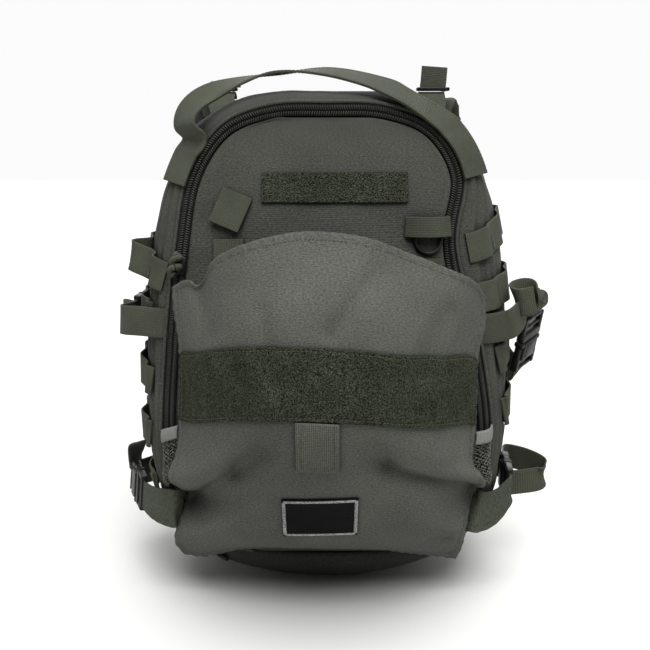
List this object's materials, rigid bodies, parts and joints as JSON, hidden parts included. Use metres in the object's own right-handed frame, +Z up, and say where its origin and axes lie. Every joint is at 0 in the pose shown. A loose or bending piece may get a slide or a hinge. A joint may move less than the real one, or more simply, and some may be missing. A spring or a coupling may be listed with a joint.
{
  "type": "assault backpack",
  "caption": "Soft backpack with a hollow zipped compartment, a bulging open-topped front flap, side webbing ladders, buckled compression straps, a grab handle and padded shoulder straps.",
  "frame": {"origin": "on the ground under the middle of the flat base, halfway across the bag and a little behind its front face", "axes": "+X to the right seen from the front, -Y to the front (the flap), +Y to the wearer's back, +Z up"},
  "size_m": [0.4025, 0.3698, 0.471],
  "materials": {
    "cloth": "coated woven nylon, foliage grey, matt",
    "padding_cloth": "woven nylon over foam, matt",
    "webbing": "woven nylon webbing, matt",
    "loop_cloth": "loop pile, dull",
    "mesh": "open polyester net",
    "binding": "ribbed binding tape",
    "patch_cloth": "twill with a merrowed border, bare",
    "black_plastic": "moulded acetal, satin",
    "zip_coil": "nylon coil, slightly shiny",
    "black_webbing": "woven nylon webbing, black"
  },
  "bodies": {
    "root": {"side_gusset": "cloth", "front_panel": "cloth", "front_flap": "cloth", "flap_wing_left": "cloth", "flap_wing_right": "cloth", "back_panel": "padding_cloth", "shoulder_strap_left": "padding_cloth", "shoulder_strap_right": "padding_cloth", "hold_strap_left": "webbing", "hold_strap_right": "webbing", "hold_tab_left": "webbing", "hold_keeper_right": "webbing", "flap_tab": "webbing", "zip_pull": "webbing", "grab_handle": "webbing", "ladder_left_1": "webbing", "ladder_left_2": "webbing", "ladder_left_3": "webbing", "ladder_left_4": "webbing", "ladder_left_5": "webbing", "ladder_right_1": "webbing", "ladder_right_2": "webbing", "ladder_right_3": "webbing", "ladder_right_4": "webbing", "ladder_right_5": "webbing", "front_strap_upper_left": "webbing", "front_strap_upper_right": "webbing", "back_strap_upper_left": "webbing", "back_strap_upper_right": "webbing", "back_strap_lower_left": "webbing", "back_strap_lower_right": "webbing", "shoulder_webbing_left": "webbing", "shoulder_webbing_right": "webbing", "load_lifter_left": "webbing", "load_lifter_right": "webbing", "lifter_tail_left": "webbing", "lifter_tail_right": "webbing", "loop_panel": "loop_cloth", "front_loop_band": "loop_cloth", "mesh_gusset_left": "mesh", "mesh_gusset_right": "mesh", "mesh_binding_left": "binding", "mesh_binding_right": "binding", "patch": "patch_cloth", "hold_ring_right": "black_plastic", "zipper_slider": "black_plastic", "buckle_upper_left_socket": "black_plastic", "buckle_upper_left_plug": "black_plastic", "buckle_upper_right_socket": "black_plastic", "buckle_upper_right_plug": "black_plastic", "buckle_lower_left_socket": "black_plastic", "buckle_lower_left_plug": "black_plastic", "buckle_lower_right_socket": "black_plastic", "buckle_lower_right_plug": "black_plastic", "ladder_lock_left": "black_plastic", "ladder_lock_right": "black_plastic", "lifter_glide_left": "black_plastic", "lifter_glide_right": "black_plastic", "zipper_chain": "zip_coil", "base_strap_end": "black_webbing"}
  },
  "joints": []
}
